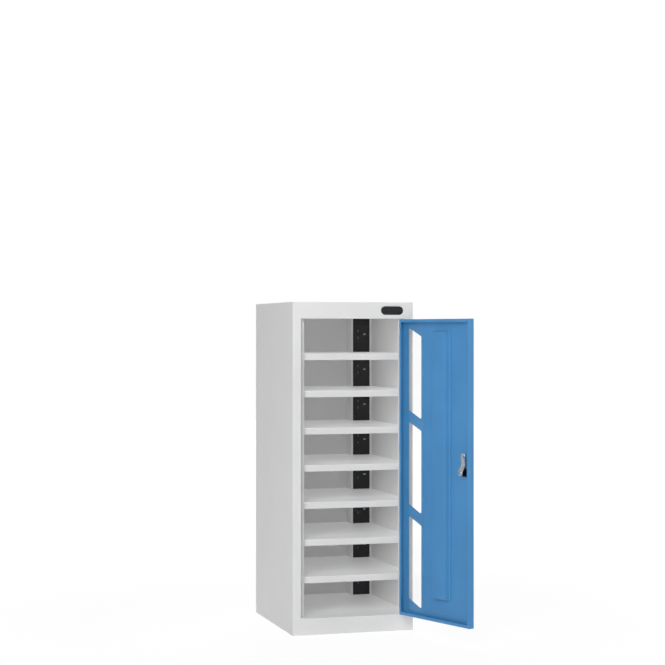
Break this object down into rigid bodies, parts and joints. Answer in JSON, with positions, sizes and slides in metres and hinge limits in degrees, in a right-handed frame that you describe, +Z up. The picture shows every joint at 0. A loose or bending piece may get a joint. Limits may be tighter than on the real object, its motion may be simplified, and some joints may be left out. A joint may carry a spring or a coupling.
{
  "type": "laptop locker",
  "caption": "Upright steel laptop locker with laptop bays, a strip of mains sockets at the rear and one hinged, windowed door with a hooked cam lock.",
  "frame": {"origin": "on the floor, in the middle of the cabinet's footprint", "axes": "+Z up, +Y towards the back, +X to the right seen from the front; the door's pieces are stored with the door standing open"},
  "size_m": [0.4596, 0.7766, 1],
  "materials": {
    "cabinet_paint": "satin powder coat",
    "door_paint": "satin powder coat",
    "black_plastic": "matte",
    "socket_plastic": "satin",
    "shutter_plastic": "matte",
    "brass_bar": "plain",
    "grommet_rubber": "matte",
    "clear_glazing": "clear",
    "hinge_steel": "zinc plated",
    "lock_chrome": "polished",
    "lock_steel": "zinc plated"
  },
  "bodies": {
    "cabinet": {"left_side": "cabinet_paint", "right_side": "cabinet_paint", "top_panel": "cabinet_paint", "base_tray": "cabinet_paint", "back_panel": "cabinet_paint", "shelf_1": "cabinet_paint", "shelf_2": "cabinet_paint", "shelf_3": "cabinet_paint", "shelf_4": "cabinet_paint", "shelf_5": "cabinet_paint", "shelf_6": "cabinet_paint", "shelf_7": "cabinet_paint", "socket_housing": "cabinet_paint", "socket_cover": "black_plastic", "socket_1": "socket_plastic", "socket_2": "socket_plastic", "socket_3": "socket_plastic", "socket_4": "socket_plastic", "socket_5": "socket_plastic", "socket_6": "socket_plastic", "socket_7": "socket_plastic", "socket_8": "socket_plastic", "socket_shutters": "shutter_plastic", "live_busbar": "brass_bar", "neutral_busbar": "brass_bar", "earth_busbar": "brass_bar", "terminal_block": "black_plastic", "cord_grommet": "grommet_rubber", "header_badge": "black_plastic", "hinge_frame_leaf_top": "hinge_steel", "hinge_frame_leaf_bottom": "hinge_steel", "hinge_pin_top": "hinge_steel", "hinge_pin_bottom": "hinge_steel"},
    "door": {"door_pan": "door_paint", "door_stiffener": "door_paint", "window_glazing": "clear_glazing", "hinge_door_leaf_top": "hinge_steel", "hinge_door_leaf_bottom": "hinge_steel", "lock_barrel": "lock_chrome", "lock_nut": "lock_steel"},
    "lock_rotor": {"lock_plug": "lock_chrome", "lock_cam": "lock_steel", "cam_screw": "lock_steel"}
  },
  "joints": [
    {"name": "door_hinge", "type": "hinge", "parent": "cabinet", "child": "door", "pos_m": [0.1625, -0.2336, 0.5], "axis": [0, 0, 1], "range_deg": [-110, 70]},
    {"name": "lock_turn", "type": "hinge", "parent": "door", "child": "lock_rotor", "pos_m": [0.25871, -0.50847, 0.5], "axis": [0.9397, 0.342, 0], "range_deg": [0, 90]}
  ]
}
